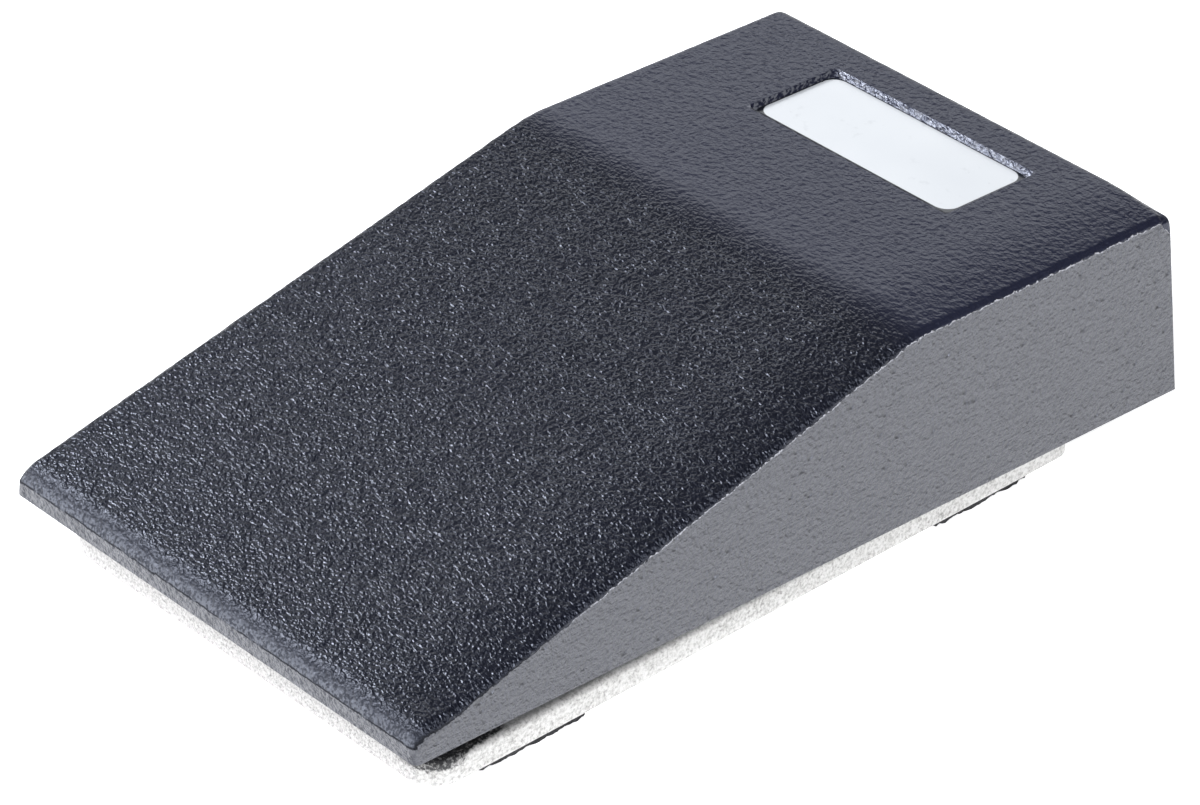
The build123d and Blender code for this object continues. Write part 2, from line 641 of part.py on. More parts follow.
with BuildPart() as switch_lockwashers:
    with BuildSketch(b_cross(SW_Y - SW_T)):
        with Locations((-MOUNT_X, MOUNT_Z), (MOUNT_X, MOUNT_Z)):
            Circle(2.9)
            Circle(1.65, mode=Mode.SUBTRACT)
    extrude(amount=0.7)
switch_lockwashers.part.label = "switch_lockwashers"

# ------------------------------------------------------------------ earth screw
with BuildPart() as ground_washer:
    with BuildSketch(b_plan(FLOOR_Z + 2.0)):
        with Locations((12.5, 98.0)):
            Circle(4.2)
            Circle(2.1, mode=Mode.SUBTRACT)
    extrude(amount=0.8)
ground_washer.part.label = "ground_washer"

with BuildPart() as ground_screw:
    with BuildSketch(b_plan(FLOOR_Z - 1.0)):
        with Locations((12.5, 98.0)):
            Circle(2.0)
    extrude(amount=3.8)
    with BuildSketch(b_plan(FLOOR_Z + 2.8)):
        with Locations((12.5, 98.0)):
            RegularPolygon(3.9, 6, major_radius=False)
    extrude(amount=2.4)
    with BuildSketch(b_plan(FLOOR_Z + 2.8 + 1.6)):
        with Locations((12.5, 98.0)):
            Rectangle(6.4, 0.9)
    extrude(amount=2, mode=Mode.SUBTRACT)
ground_screw.part.label = "ground_screw"

# ----------------------------------------------------------------- cord bushing
with BuildPart() as cord_bushing:
    with BuildSketch(b_side(0)):
        with BuildLine():
            Polyline((UPSTAND_Y0 - 1.4, INLET_Z + INLET_R), (UPSTAND_Y0 - 1.4, INLET_Z + 7.4),
                     (UPSTAND_Y0, INLET_Z + 7.4), (UPSTAND_Y0, INLET_Z + 6.3),
                     (UPSTAND_Y1, INLET_Z + 6.3), (UPSTAND_Y1, INLET_Z + 7.6),
                     (UPSTAND_Y1 + 1.8, INLET_Z + 7.6), (UPSTAND_Y1 + 1.8, INLET_Z + INLET_R), close=True)
        make_face()
    revolve(axis=Axis((0, -Y_MID, INLET_Z), (0, 1, 0)), revolution_arc=360)
    fillet(cord_bushing.edges().filter_by(GeomType.CIRCLE).sort_by(Axis.Y)[-1], 0.6)
cord_bushing.part.label = "cord_bushing"

# ----------------------------------------------------------------------- export
export_step(treadle_casting.part, "parts/treadle_casting.step")
export_step(rating_label.part, "parts/rating_label.step")
export_step(hinge_pin.part, "parts/hinge_pin.step")
export_step(actuator_screw.part, "parts/actuator_screw.step")
export_step(actuator_locknut.part, "parts/actuator_locknut.step")
export_step(base_casting.part, "parts/base_casting.step")
export_step(foot_pad_front_right.part, "parts/foot_pad_front_right.step")
export_step(foot_pad_front_left.part, "parts/foot_pad_front_left.step")
export_step(foot_pad_rear_right.part, "parts/foot_pad_rear_right.step")
export_step(foot_pad_rear_left.part, "parts/foot_pad_rear_left.step")
export_step(return_spring.part, "parts/return_spring.step")
export_step(insulator_sheet.part, "parts/insulator_sheet.step")
export_step(switch_case.part, "parts/switch_case.step")
export_step(switch_cover.part, "parts/switch_cover.step")
export_step(switch_cover_screws.part, "parts/switch_cover_screws.step")
export_step(switch_button.part, "parts/switch_button.step")
export_step(switch_pin.part, "parts/switch_pin.step")
export_step(switch_overtravel_spring.part, "parts/switch_overtravel_spring.step")
export_step(contact_blade.part, "parts/contact_blade.step")
export_step(moving_contact.part, "parts/moving_contact.step")
export_step(terminal_common.part, "parts/terminal_common.step")
export_step(terminal_normally_closed.part, "parts/terminal_normally_closed.step")
export_step(terminal_normally_open.part, "parts/terminal_normally_open.step")
export_step(fixed_contact_closed.part, "parts/fixed_contact_closed.step")
export_step(fixed_contact_open.part, "parts/fixed_contact_open.step")
export_step(terminal_screws.part, "parts/terminal_screws.step")
export_step(switch_mounting_screws.part, "parts/switch_mounting_screws.step")
export_step(switch_lockwashers.part, "parts/switch_lockwashers.step")
export_step(ground_washer.part, "parts/ground_washer.step")
export_step(ground_screw.part, "parts/ground_screw.step")
export_step(cord_bushing.part, "parts/cord_bushing.step")

print("Y_MID %.3f hinge (%.3f, %.3f)" % (Y_MID, HINGE_Y - Y_MID, HINGE_Z))
print("spring top %.3f, stop pad top %.3f, ratio switch %.5f" % (SPRING_Z1, stop_low - 0.05, (HINGE_Y - SW_Y) / 1000))
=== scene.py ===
import bpy, bmesh, math
import numpy as np
from mathutils import Vector, Matrix


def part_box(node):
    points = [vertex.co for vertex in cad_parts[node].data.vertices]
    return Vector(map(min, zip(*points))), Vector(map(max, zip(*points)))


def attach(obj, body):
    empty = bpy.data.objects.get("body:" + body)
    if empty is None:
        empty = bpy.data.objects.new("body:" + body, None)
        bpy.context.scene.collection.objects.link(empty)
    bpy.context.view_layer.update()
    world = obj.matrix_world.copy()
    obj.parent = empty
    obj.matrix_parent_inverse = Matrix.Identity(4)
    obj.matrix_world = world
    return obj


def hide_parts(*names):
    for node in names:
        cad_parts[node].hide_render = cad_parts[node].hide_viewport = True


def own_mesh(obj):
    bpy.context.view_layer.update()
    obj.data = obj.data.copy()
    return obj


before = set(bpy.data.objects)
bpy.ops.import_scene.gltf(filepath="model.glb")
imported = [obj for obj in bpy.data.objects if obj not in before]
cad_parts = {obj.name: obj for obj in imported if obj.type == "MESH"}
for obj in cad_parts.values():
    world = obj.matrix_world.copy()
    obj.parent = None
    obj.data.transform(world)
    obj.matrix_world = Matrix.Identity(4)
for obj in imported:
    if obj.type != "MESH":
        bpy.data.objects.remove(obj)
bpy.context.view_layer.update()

scene = bpy.context.scene
scene.view_settings.view_transform = "Standard"
scene.view_settings.look = "None"

# ----------------------------------------------------------------------------
# numbers shared with the construction, in millimetres
# ----------------------------------------------------------------------------
TREAD_L, HALF_W, DRAFT = 126.4, 37.0, 0.09
NOSE_CUT, NOSE_ARC = 2.0, 3.4
EDGE_DROP, EDGE_RUN, EDGE_CORNER = 0.95, 11.0, 0.75
NOSE_V, NOSE_R = 3.87, 2.45
RIDGE_Y, RIDGE_Z, RIDGE_R = 79.62, 25.80, 20.7
HEEL_Y, HEEL_Z, HEEL_R = 124.80, 25.90, 2.3
EDGE_R = 1.7
TILT = math.radians(1.88)
LIFT = 8.40
S, C = math.sin(TILT), math.cos(TILT)
Y_MID = TREAD_L * C / 2
LX0, LX1, LY0, LY1, LDEPTH = -17.4, 17.95, 102.2, 117.9, 1.1
HINGE = (98.0, 17.2)


def to_level(p):
    """treadle frame (x, y, z) in mm -> row frame in metres"""
    p = np.asarray(p, float)
    out = np.empty_like(p)
    out[..., 0] = p[..., 0]
    out[..., 1] = p[..., 1] * C + p[..., 2] * S - Y_MID
    out[..., 2] = -p[..., 1] * S + p[..., 2] * C + LIFT
    return out * 0.001


def to_tread(p):
    """row frame in metres -> treadle frame in mm"""
    p = np.asarray(p, float) * 1000.0
    y, z = p[..., 1] + Y_MID, p[..., 2] - LIFT
    return np.stack([p[..., 0], y * C - z * S, y * S + z * C], -1)


# ----------------------------------------------------------------------------
# noise on numpy arrays, seeded by its arguments only
# ----------------------------------------------------------------------------
def _hash(ix, iy, iz, seed):
    h = (ix.astype(np.uint32) * np.uint32(374761393) + iy.astype(np.uint32) * np.uint32(668265263)
         + iz.astype(np.uint32) * np.uint32(2147483647) + np.uint32((seed * 974634777 + 12345) & 0xFFFFFFFF))
    h = (h ^ (h >> np.uint32(13))) * np.uint32(1274126177)
    h ^= h >> np.uint32(16)
    h = h * np.uint32(2246822519)
    return (h ^ (h >> np.uint32(15)))


def noise(p, seed=0):
    """gradient noise, about -1..1"""
    p = np.asarray(p, float)
    f = np.floor(p)
    i = f.astype(np.int64)
    t = p - f
    u = t * t * t * (t * (t * 6 - 15) + 10)
    total = 0.0
    for dx in (0, 1):
        for dy in (0, 1):
            for dz in (0, 1):
                h = _hash(i[..., 0] + dx, i[..., 1] + dy, i[..., 2] + dz, seed)
                a = (h & np.uint32(1023)).astype(float) / 1023 * 2 * np.pi
                c = ((h >> np.uint32(10)) & np.uint32(1023)).astype(float) / 1023 * 2 - 1
                s = np.sqrt(np.maximum(0, 1 - c * c))
                g = np.cos(a) * s * (t[..., 0] - dx) + np.sin(a) * s * (t[..., 1] - dy) + c * (t[..., 2] - dz)
                w = (u[..., 0] if dx else 1 - u[..., 0]) * (u[..., 1] if dy else 1 - u[..., 1]) * (u[..., 2] if dz else 1 - u[..., 2])
                total = total + w * g
    return total * 1.6


def smooth(a, b, x):
    t = np.clip((x - a) / (b - a), 0, 1)
    return t * t * (3 - 2 * t)


def new_mesh(name, verts, faces, smooth_faces=True):
    me = bpy.data.meshes.new(name)
    me.from_pydata([tuple(v) for v in verts], [], faces)
    me.validate()
    me.update()
    if smooth_faces:
        me.polygons.foreach_set("use_smooth", [True] * len(me.polygons))
    ob = bpy.data.objects.new(name, me)
    scene.collection.objects.link(ob)
    return ob


def apply_modifiers(ob):
    dg = bpy.context.evaluated_depsgraph_get()
    me = bpy.data.meshes.new_from_object(ob.evaluated_get(dg), preserve_all_data_layers=True, depsgraph=dg)
    old = ob.data
    ob.modifiers.clear()
    ob.data = me
    bpy.data.meshes.remove(old)
    return ob


# ----------------------------------------------------------------------------
# camera and light
# ----------------------------------------------------------------------------
cam_data = bpy.data.cameras.new("camera")
cam = bpy.data.objects.new("camera", cam_data)
scene.collection.objects.link(cam)
scene.camera = cam
cam_data.sensor_width = 36.0
cam_data.lens = 162.825
cam_data.clip_start, cam_data.clip_end = 0.01, 20.0
right = Vector((0.67323965, 0.73941432, 0.00385249))
down = Vector((0.40733256, -0.36651953, -0.8365068))
fwd = Vector((-0.61711309, 0.56473879, -0.54794301))
pos = Vector((0.4104807, -0.3770823, 0.3768596))
cam.matrix_world = Matrix(((right.x, -down.x, -fwd.x, pos.x),
                           (right.y, -down.y, -fwd.y, pos.y),
                           (right.z, -down.z, -fwd.z, pos.z),
                           (0, 0, 0, 1)))

world = bpy.data.worlds.new("studio")
scene.world = world
world.use_nodes = True
world.node_tree.nodes["Background"].inputs["Color"].default_value = (0.93, 0.96, 1.0, 1)
world.node_tree.nodes["Background"].inputs["Strength"].default_value = 0.10


def area(name, direction, dist, size, facing, size_y=None):
    """facing: how bright a white surface turned to the lamp would be, by this lamp alone"""
    d = bpy.data.lights.new(name, "AREA")
    d.energy = facing * math.pi ** 2 * dist ** 2
    d.color = (0.95, 0.97, 1.0)
    d.size = size
    if size_y:
        d.shape, d.size_y = "RECTANGLE", size_y
    o = bpy.data.objects.new(name, d)
    scene.collection.objects.link(o)
    v = Vector(direction).normalized()
    o.location = v * dist + Vector((0, 0, 0.015))
    o.rotation_mode = "QUATERNION"
    o.rotation_quaternion = v.to_track_quat("Z", "Y")
    return o


area("key", (-0.66, -0.44, 0.62), 0.45, 0.13, 1.15)
area("front", (0.35, -0.58, 0.72), 0.9, 0.20, 1.05)
area("side", (0.84, 0.02, 0.55), 1.1, 0.35, 0.30)
area("back", (-0.62, 0.60, 0.37), 1.1, 0.90, 0.17, 0.38)

floor = new_mesh("floor", [(-3, -3, 0), (3, -3, 0), (3, 3, 0), (-3, 3, 0)], [(0, 1, 2, 3)], False)


# ----------------------------------------------------------------------------
# materials
# ----------------------------------------------------------------------------
class Mat:
    """small helper round one node tree"""

    def __init__(self, name):
        self.m = bpy.data.materials.new(name)
        self.m.use_nodes = True
        self.t = self.m.node_tree
        self.n = self.t.nodes
        self.bsdf = self.n["Principled BSDF"]
        self.co = None

    def coords(self):
        if self.co is None:
            self.co = self.n.new("ShaderNodeTexCoord").outputs["Object"]
        return self.co

    def mapped(self, scale, rotation=(0, 0, 0)):
        """turned first, then stretched"""
        out = self.coords()
        for key, value in (("Rotation", rotation), ("Scale", scale)):
            mp = self.n.new("ShaderNodeMapping")
            mp.inputs[key].default_value = value
            self.t.links.new(out, mp.inputs["Vector"])
            out = mp.outputs["Vector"]
        return out

    def noise(self, scale, detail=2.0, rough=0.5, distortion=0.0, vector=None):
        x = self.n.new("ShaderNodeTexNoise")
        x.inputs["Scale"].default_value = scale
        x.inputs["Detail"].default_value = detail
        x.inputs["Roughness"].default_value = rough
        x.inputs["Distortion"].default_value = distortion
        self.t.links.new(vector if vector is not None else self.coords(), x.inputs["Vector"])
        return x.outputs["Fac"]

    def voronoi(self, scale, feature="F1", vector=None, randomness=1.0):
        x = self.n.new("ShaderNodeTexVoronoi")
        x.feature = feature
        x.inputs["Scale"].default_value = scale
        x.inputs["Randomness"].default_value = randomness
        self.t.links.new(vector if vector is not None else self.coords(), x.inputs["Vector"])
        return x.outputs["Distance"]

    def ramp(self, fac, stops, interp="LINEAR"):
        r = self.n.new("ShaderNodeValToRGB")
        r.color_ramp.interpolation = interp
        while len(r.color_ramp.elements) < len(stops):
            r.color_ramp.elements.new(0.5)
        for e, (p, c) in zip(r.color_ramp.elements, stops):
            e.position = p
            e.color = c if len(c) == 4 else (*c, 1)
        self.t.links.new(fac, r.inputs["Fac"])
        return r.outputs["Color"]

    def math(self, op, a, b=None, clamp=False):
        m = self.n.new("ShaderNodeMath")
        m.operation = op
        m.use_clamp = clamp
        for i, v in enumerate((a, b)):
            if v is None:
                continue
            if isinstance(v, (int, float)):
                m.inputs[i].default_value = v
            else:
                self.t.links.new(v, m.inputs[i])
        return m.outputs[0]

    def mix(self, fac, a, b, kind="RGBA", blend="MIX"):
        m = self.n.new("ShaderNodeMix")
        m.data_type = kind
        if kind == "RGBA":
            m.blend_type = blend
            ia, ib, out = m.inputs[6], m.inputs[7], m.outputs[2]
        else:
            ia, ib, out = m.inputs[2], m.inputs[3], m.outputs[0]
        if isinstance(fac, (int, float)):
            m.inputs[0].default_value = fac
        else:
            self.t.links.new(fac, m.inputs[0])
        for s, v in ((ia, a), (ib, b)):
            if isinstance(v, (int, float)):
                s.default_value = v
            elif isinstance(v, tuple):
                s.default_value = v if len(v) == 4 else (*v, 1)
            else:
                self.t.links.new(v, s)
        return out

    def step(self, value, lo, hi, to0=0.0, to1=1.0):
        m = self.n.new("ShaderNodeMapRange")
        m.interpolation_type = "SMOOTHSTEP"
        m.inputs["From Min"].default_value = lo
        m.inputs["From Max"].default_value = hi
        m.inputs["To Min"].default_value = to0
        m.inputs["To Max"].default_value = to1
        self.t.links.new(value, m.inputs["Value"])
        return m.outputs["Result"]

    def add(self, *terms):
        out = None
        for value, k in terms:
            v = self.math("MULTIPLY", value, k)
            out = v if out is None else self.math("ADD", out, v)
        return out

    def axis(self, i):
        sep = self.n.new("ShaderNodeSeparateXYZ")
        self.t.links.new(self.coords(), sep.inputs[0])
        return sep.outputs[i]

    def attribute(self, name):
        a = self.n.new("ShaderNodeAttribute")
        a.attribute_name = name
        return a.outputs["Fac"]

    def bump(self, height, distance, strength=1.0, normal=None):
        b = self.n.new("ShaderNodeBump")
        b.inputs["Distance"].default_value = distance
        if isinstance(strength, (int, float)):
            b.inputs["Strength"].default_value = strength
        else:
            self.t.links.new(strength, b.inputs["Strength"])
        self.t.links.new(height, b.inputs["Height"])
        if normal is not None:
            self.t.links.new(normal, b.inputs["Normal"])
        return b.outputs["Normal"]

    def set(self, **kw):
        for k, v in kw.items():
            s = self.bsdf.inputs[k.replace("_", " ")]
            if isinstance(v, (int, float)):
                s.default_value = v
            elif isinstance(v, tuple):
                s.default_value = v if len(v) == 4 else (*v, 1)
            else:
                self.t.links.new(v, s)
        return self


def grey(v):
    return (v, v, v, 1)


# painted cast treadle: grain on the slope, smoother on the flat, thin paint on ground faces
P = Mat("treadle_paint")
edge, slope, nose, pit = P.attribute("edge"), P.attribute("slope"), P.attribute("nose"), P.attribute("pit")
rag = P.add((P.noise(750, 2.0, 0.6), 1.0), (P.noise(2600, 1.0, 0.5), 0.45))
rag = P.math("MULTIPLY", P.math("SUBTRACT", rag, 0.72), P.step(nose, 0.0, 1.0, 0.85, 0.5))
edge_n = P.math("ADD", edge, rag)
ground = P.step(edge_n, -0.03, 0.04)
# painted highlight: a bright broken line along the top of the ground faces, where the sharp edge catches the light
painted_edge_glint_gaps = P.math("MULTIPLY", P.step(P.noise(1500, 3.0, 0.7), 0.40, 0.56), P.step(P.axis(1), -0.047, -0.030))
painted_edge_glint = P.math("MULTIPLY", P.step(edge_n, 0.0, 0.05), P.step(edge_n, 0.08, 0.28, 1.0, 0.0))
painted_edge_glint = P.math("MULTIPLY", painted_edge_glint, P.math("MULTIPLY", painted_edge_glint_gaps, P.step(nose, 0.0, 0.9, 1.0, 0.0)))
# painted shade: a dark broken line in the crease at the nose and along the front of the side edges
crease = P.math("MULTIPLY", P.step(edge_n, -0.22, -0.10), P.step(edge_n, 0.00, 0.12, 1.0, 0.0))
crease = P.math("MULTIPLY", crease, P.math("MULTIPLY", P.step(P.noise(420, 2.0, 0.5), 0.34, 0.46), P.math("MAXIMUM", P.step(nose, 0.5, 0.9), P.step(P.axis(1), -0.050, -0.034, 0.9, 0.0))))
# grain of the slope: short worm-like ridges
worm_h = P.math("MULTIPLY", P.noise(2150, 1.1, 0.5, 0.1, P.mapped((0.80, 1.10, 0.9), (0.0, 0.0, 0.16))), 2.9)
peel_h = P.math("MULTIPLY", P.noise(1250, 1.8, 0.55, 0.2), 1.95)
cast_h = P.mix(slope, peel_h, worm_h, "FLOAT")
# ground faces: faint lay along the treadle, small bumps and dimples
lay = P.noise(900, 2.0, 0.65, 0.0, P.mapped((2.4, 0.10, 2.4), (0.033, 0.0, 0.0)))
bumps = P.noise(1750, 1.6, 0.55, 0.2)
dimple = P.step(P.voronoi(420), 0.06, 0.22)
ground_h = P.add((lay, 2.0), (dimple, 3.4), (bumps, 6.5))
height = P.mix(ground, P.math("ADD", cast_h, 0.30), ground_h, "FLOAT")
n1 = P.bump(height, 0.00010, 1.0)
broad = P.noise(300, 2.0, 0.5)
col_top = P.ramp(broad, [(0.3, (0.0022, 0.0026, 0.0058)), (0.7, (0.0034, 0.0038, 0.0080))])
col_top = P.mix(slope, (0.0095, 0.0105, 0.0225), col_top)
# painted sheen: a lighter band along the nose roll, where the roll faces the lamps
nose_sheen = P.math("MULTIPLY", P.step(nose, 0.74, 1.0), P.step(P.noise(2600, 1.5, 0.5), 0.40, 0.58, 0.15, 1.0))
col_top = P.mix(nose_sheen, col_top, (0.088, 0.093, 0.110))
# painted glints: light grey flecks on the walls of the label recess
col_top = P.mix(P.math("MULTIPLY", pit, P.step(P.noise(1500, 2.0, 0.6), 0.44, 0.60)), col_top, (0.115, 0.118, 0.135))
col_side = P.ramp(P.noise(380, 4.0, 0.65, 0.0, P.mapped((3.0, 0.5, 3.0))),
                  [(0.3, (0.098, 0.098, 0.105)), (0.7, (0.110, 0.110, 0.118))])
col_side = P.mix(P.step(bumps, 0.34, 0.50, 0.12, 0.0), col_side, (0.05, 0.05, 0.056))
streak = P.noise(1500, 2.0, 0.6, 0.0, P.mapped((1.6, 1.0, 0.35), (0.0, -0.62, 0.0)))
col_side = P.mix(P.math("MULTIPLY", P.step(nose, 0.9, 1.0), P.step(streak, 0.42, 0.60, 1.0, 0.0)), col_side, (0.045, 0.045, 0.050))
# painted shade: the ground side and nose faces are darker towards the front
col_side = P.mix(P.step(P.axis(1), -0.070, 0.055, 0.22, 0.0), col_side, (0.060, 0.060, 0.064))
specks = P.step(P.voronoi(260), 0.03, 0.06)
col_side = P.mix(P.math("MULTIPLY", P.math("SUBTRACT", 1.0, specks, True), 0.7), col_side, (0.03, 0.03, 0.035), "RGBA")
col = P.mix(ground, col_top, col_side)
col = P.mix(painted_edge_glint, col, (0.44, 0.44, 0.48))
col = P.mix(crease, col, (0.004, 0.004, 0.005))
rough_top = P.mix(nose, P.mix(slope, 0.33, 0.305, "FLOAT"), 0.52, "FLOAT")
rough_top = P.mix(pit, rough_top, 0.30, "FLOAT")
P.set(Base_Color=col, Roughness=P.mix(crease, P.mix(ground, rough_top, 0.34, "FLOAT"), 0.95, "FLOAT"), Normal=n1, Metallic=0.0,
      Specular_Tint=(0.78, 0.83, 1.0))

# bright speckled base casting, with a painted shadow on the top ledge under the treadle's front right corner
B = Mat("base_metal")
sp = B.noise(2300, 3.0, 0.7)
bl = B.noise(160, 3.0, 0.6)
col = B.ramp(sp, [(0.34, (0.28, 0.272, 0.262)), (0.46, (0.50, 0.49, 0.475)), (0.60, (0.66, 0.65, 0.635))])
col = B.mix(B.ramp(bl, [(0.40, grey(0.0)), (0.75, grey(0.30))]), col, (0.66, 0.65, 0.635))
sx_, sy_, sz_ = B.axis(0), B.axis(1), B.axis(2)
# painted shadow: a near-black patch on the ledge top under the treadle's front right corner, bounded by a slanted line
line_x = B.math("ADD", B.math("MULTIPLY", B.math("ADD", sy_, 0.0586), -0.0913), 0.0353)
past = B.math("SUBTRACT", B.math("ADD", sx_, B.math("MULTIPLY", B.math("SUBTRACT", B.noise(1500, 2.0, 0.6), 0.5), 0.0011)), line_x)
painted_corner_shadow = B.math("MULTIPLY", B.step(past, -0.0003, 0.0001, 1.0, 0.0),
               B.math("MULTIPLY", B.step(B.math("ADD", sy_, B.math("MULTIPLY", B.noise(900, 2.0, 0.6), 0.003)), -0.0470, -0.0440, 1.0, 0.0),
                      B.math("MULTIPLY", B.step(sx_, 0.0285, 0.0300), B.step(sy_, -0.0596, -0.0588))))
painted_corner_shadow = B.math("MULTIPLY", painted_corner_shadow, B.math("MULTIPLY", B.step(B.math("ADD", sz_, B.math("MULTIPLY", B.noise(1200, 3.0, 0.7), 0.0016)), 0.0039, 0.0043), B.step(B.noise(2600, 2.0, 0.6), 0.34, 0.52, 0.55, 1.0)))
# painted shade: the front face of the casting is made a little darker, to offset the front lamp
col = B.mix(B.step(sy_, -0.0590, -0.0587, 1.0, 0.0), col, B.mix(1.0, col, (0.86, 0.85, 0.86), "RGBA", "MULTIPLY"))
fleck = B.math("MULTIPLY", B.step(B.noise(3400, 1.5, 0.6), 0.34, 0.44, 0.75, 0.0), B.step(sy_, -0.0590, -0.0587, 1.0, 0.0))
col = B.mix(fleck, col, (0.16, 0.158, 0.155))
# painted shade: a darker band along the bottom millimetre of the casting, where it sits on the pads
col = B.mix(B.step(sz_, 0.00105, 0.00125, 0.45, 0.0), col, (0.10, 0.10, 0.10))
B.set(Base_Color=B.mix(painted_corner_shadow, col, (0.022, 0.022, 0.024)),
      Metallic=0.15, Roughness=B.ramp(sp, [(0.3, grey(0.55)), (0.7, grey(0.40))]),
      Normal=B.bump(B.math("ADD", B.math("MULTIPLY", sp, 0.7), B.noise(700, 2.0, 0.5)), 0.00016, 0.7))

# foam rubber
R = Mat("pad_rubber")
R.set(Base_Color=R.ramp(R.noise(900, 3, 0.6), [(0.3, (0.008, 0.008, 0.009)), (0.75, (0.035, 0.035, 0.038))]),
      Roughness=0.85, Normal=R.bump(R.noise(1800, 3, 0.65), 0.0004, 0.8))

# sticker: bare white film with rounded corners and a dark border
L = Mat("label_film")
film = L.ramp(L.noise(60, 2, 0.5), [(0.3, (0.50, 0.515, 0.535)), (0.7, (0.54, 0.555, 0.57))])
mx0, mx1, my0, my1, mr = LX0 + 0.40, LX1 - 1.08, LY0 + 1.10, LY1 - 0.65, 2.1
cx_, cy_ = (mx0 + mx1) / 2000, ((my0 + my1) / 2 * C + (HEEL_Z - LDEPTH) * S - Y_MID) / 1000
qx = L.math("MAXIMUM", L.math("SUBTRACT", L.math("ABSOLUTE", L.math("SUBTRACT", L.axis(0), cx_)), (mx1 - mx0) / 2000 - mr / 1000), 0.0)
qy = L.math("MAXIMUM", L.math("SUBTRACT", L.math("ABSOLUTE", L.math("SUBTRACT", L.axis(1), cy_)), (my1 - my0) / 2000 - mr / 1000), 0.0)
qd = L.math("SQRT", L.math("ADD", L.math("MULTIPLY", qx, qx), L.math("MULTIPLY", qy, qy)))
film = L.mix(L.step(L.noise(420, 3.0, 0.65), 0.62, 0.74, 0.0, 0.22), film, (0.30, 0.31, 0.33))
film = L.mix(L.step(qd, mr / 1000 - 0.00005, mr / 1000 + 0.00005), film, (0.006, 0.007, 0.011))
L.set(Base_Color=film, Roughness=0.30,
      Normal=L.bump(L.noise(260, 2, 0.5), 0.00005, 0.5), Coat_Weight=0.25, Coat_Roughness=0.12)

# floor
F = Mat("floor")
F.set(Base_Color=(0.93, 0.93, 0.93), Roughness=0.7, Emission_Color=(1, 1, 1), Emission_Strength=0.80)
floor.data.materials.append(F.m)


def metal(name, lo, hi, rough=0.35, scale=900, stretch=(1, 1, 1), metallic=1.0, bump=0.00003):
    m = Mat(name)
    v = m.mapped(stretch)
    nz = m.noise(scale, 3.0, 0.6, 0.0, v)
    m.set(Base_Color=m.ramp(nz, [(0.3, lo), (0.7, hi)]), Metallic=metallic,
          Roughness=m.ramp(nz, [(0.3, grey(rough + 0.08)), (0.7, grey(rough - 0.06))]),
          Normal=m.bump(nz, bump, 0.7))
    return m


def plastic(name, lo, hi, rough=0.45, scale=1200, bump=0.00004):
    m = Mat(name)
    nz = m.noise(scale, 3.0, 0.6)
    m.set(Base_Color=m.ramp(nz, [(0.3, lo), (0.7, hi)]),
          Roughness=m.ramp(nz, [(0.3, grey(rough + 0.06)), (0.7, grey(rough - 0.05))]),
          Normal=m.bump(nz, bump, 0.7))
    return m


steel = metal("zinc_steel", (0.26, 0.26, 0.255), (0.36, 0.36, 0.35), 0.36)
spring_m = metal("spring_wire", (0.40, 0.41, 0.42), (0.56, 0.57, 0.58), 0.28, 1500)
brass = metal("brass", (0.58, 0.42, 0.17), (0.72, 0.55, 0.25), 0.32)
copper = metal("blade_copper", (0.60, 0.33, 0.16), (0.72, 0.42, 0.22), 0.30)
silver = metal("contact_silver", (0.70, 0.69, 0.66), (0.84, 0.83, 0.80), 0.22)
earth = metal("earth_green", (0.02, 0.12, 0.035), (0.03, 0.19, 0.05), 0.40, 900, (1, 1, 1), 0.3)
board = plastic("fish_paper", (0.10, 0.11, 0.10), (0.16, 0.17, 0.155), 0.75, 500)
case_p = plastic("switch_phenolic", (0.012, 0.011, 0.010), (0.022, 0.020, 0.018), 0.42)
cover_p = plastic("cover_phenolic", (0.020, 0.013, 0.010), (0.034, 0.022, 0.016), 0.40)
button_p = plastic("button_red", (0.28, 0.02, 0.015), (0.36, 0.03, 0.02), 0.33)
bush_p = plastic("bushing_nylon", (0.010, 0.010, 0.010), (0.020, 0.020, 0.021), 0.48)

SLOTS = {
    "treadle_casting": P, "rating_label": L, "hinge_pin": steel, "actuator_screw": steel, "actuator_locknut": steel,
    "base_casting": B, "foot_pad_front_right": R, "foot_pad_front_left": R, "foot_pad_rear_right": R,
    "foot_pad_rear_left": R, "return_spring": spring_m, "insulator_sheet": board, "switch_case": case_p,
    "switch_cover": cover_p, "switch_cover_screws": steel, "switch_button": button_p, "switch_pin": button_p,
    "switch_overtravel_spring": spring_m, "contact_blade": copper, "moving_contact": silver,
    "terminal_common": brass, "terminal_normally_closed": brass, "terminal_normally_open": brass,
    "fixed_contact_closed": silver, "fixed_contact_open": silver, "terminal_screws": steel,
    "switch_mounting_screws": steel, "switch_lockwashers": steel, "ground_screw": earth, "ground_washer": steel,
    "cord_bushing": bush_p,
}
for node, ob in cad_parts.items():
    ob.data.materials.clear()
    ob.data.materials.append(SLOTS[node].m)


